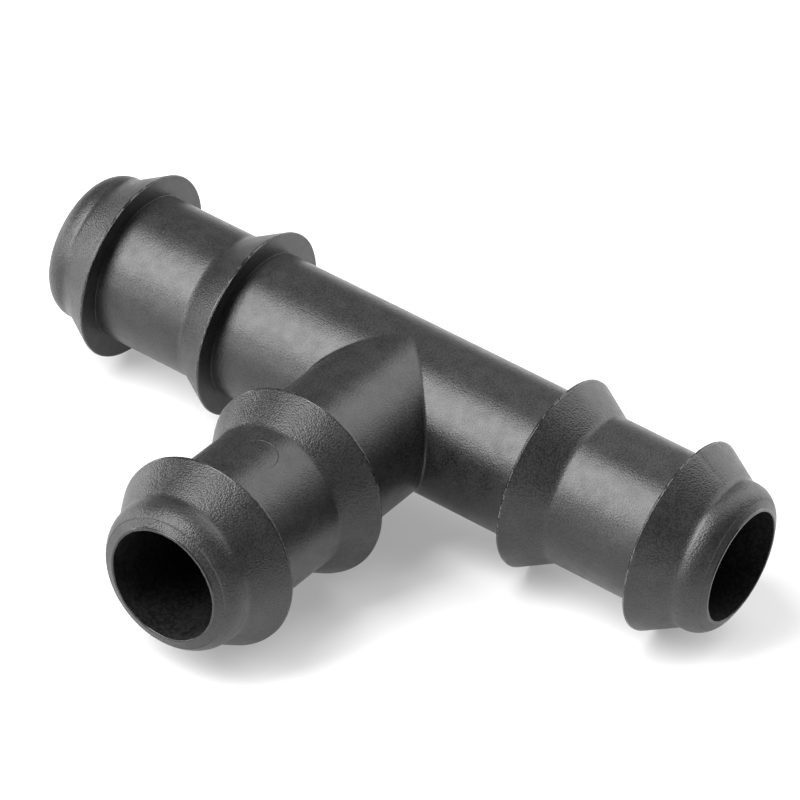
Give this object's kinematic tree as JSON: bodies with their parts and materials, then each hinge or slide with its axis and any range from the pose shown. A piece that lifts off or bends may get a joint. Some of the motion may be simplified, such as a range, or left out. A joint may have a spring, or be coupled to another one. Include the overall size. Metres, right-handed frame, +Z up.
{
  "type": "barbed tee connector",
  "caption": "Barbed tee connector for irrigation pipe: a straight run and a square side branch, each arm ringed by barbs behind a rounded open nose.",
  "frame": {"origin": "the point where the run's axis and the branch's axis cross", "axes": "+X along the run towards the right mouth, -Y along the branch towards its mouth, +Z up when the tee lies flat on its barb crests"},
  "size_m": [0.063, 0.0395, 0.016],
  "materials": {
    "moulded_plastic": "satin black, fine moulded grain"
  },
  "bodies": {
    "root": {"junction_body": "moulded_plastic", "left_inner_barb": "moulded_plastic", "left_neck": "moulded_plastic", "left_outer_barb": "moulded_plastic", "left_nose": "moulded_plastic", "right_inner_barb": "moulded_plastic", "right_neck": "moulded_plastic", "right_outer_barb": "moulded_plastic", "right_nose": "moulded_plastic", "branch_inner_barb": "moulded_plastic", "branch_neck": "moulded_plastic", "branch_outer_barb": "moulded_plastic", "branch_nose": "moulded_plastic"}
  },
  "joints": []
}
